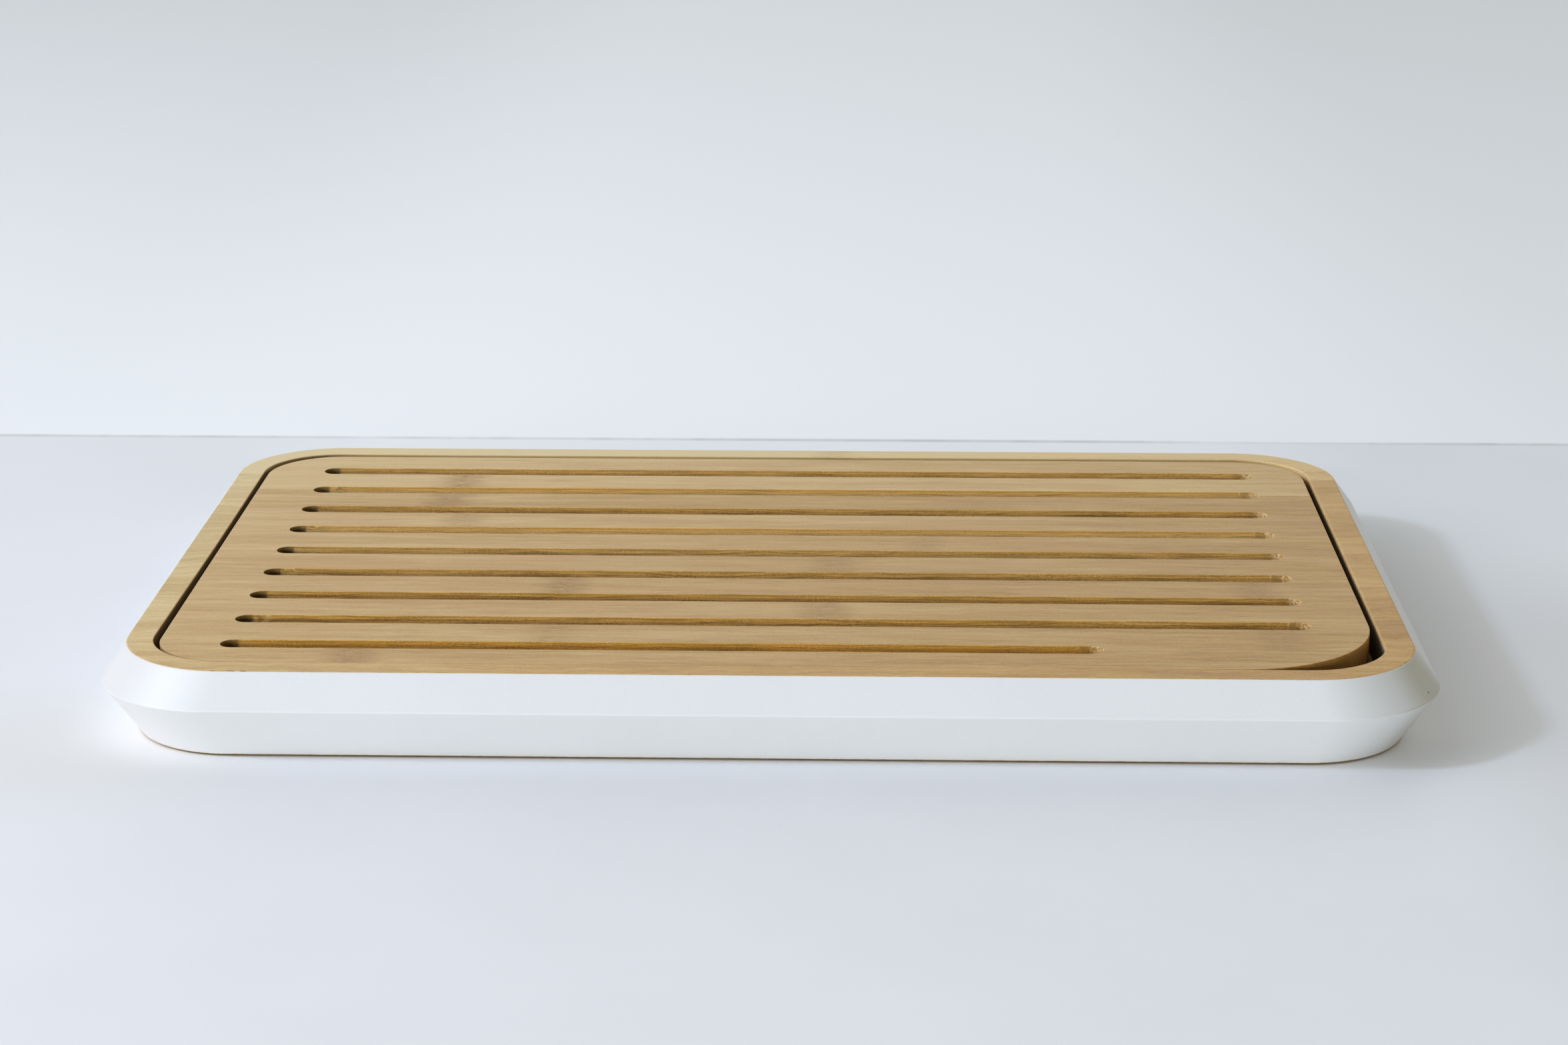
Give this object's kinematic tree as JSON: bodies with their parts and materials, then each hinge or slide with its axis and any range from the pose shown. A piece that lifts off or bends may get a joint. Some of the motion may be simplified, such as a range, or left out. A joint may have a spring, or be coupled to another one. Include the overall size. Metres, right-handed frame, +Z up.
{
  "type": "bread board with crumb catcher",
  "caption": "Slotted bamboo bread board lying loose in a white lacquered bamboo tray that catches the crumbs; the board lifts out.",
  "frame": {"origin": "on the worktop, under the middle of the tray", "axes": "+X along the length to the right, +Y to the rear, +Z up; the edge nearest the user faces -Y"},
  "size_m": [0.42, 0.28, 0.0287],
  "materials": {
    "lacquered_frame": "satin white lacquer on the outer flanks, bare bamboo on the rim and inside",
    "bamboo_board": "bare sanded laminated bamboo with crisp milled slots",
    "bamboo_inside": "bare laminated bamboo, machined",
    "foot_rubber": "matt moulded rubber"
  },
  "bodies": {
    "tray": {"tray_frame": "lacquered_frame", "tray_floor": "bamboo_inside", "rest_strip_front": "bamboo_inside", "rest_strip_rear": "bamboo_inside", "rest_strip_left": "bamboo_inside", "rest_strip_right": "bamboo_inside", "foot_front_left": "foot_rubber", "foot_front_right": "foot_rubber", "foot_rear_left": "foot_rubber", "foot_rear_right": "foot_rubber"},
    "board": {"board_stave_01": "bamboo_board", "board_stave_02": "bamboo_board", "board_stave_03": "bamboo_board", "board_stave_04": "bamboo_board", "board_stave_05": "bamboo_board", "board_stave_06": "bamboo_board", "board_stave_07": "bamboo_board", "board_stave_08": "bamboo_board", "board_stave_09": "bamboo_board", "board_stave_10": "bamboo_board"}
  },
  "joints": [
    {"name": "board_lift", "type": "slide", "parent": "tray", "child": "board", "axis": [0, 0, 1], "range_m": [0, 0.06]}
  ]
}
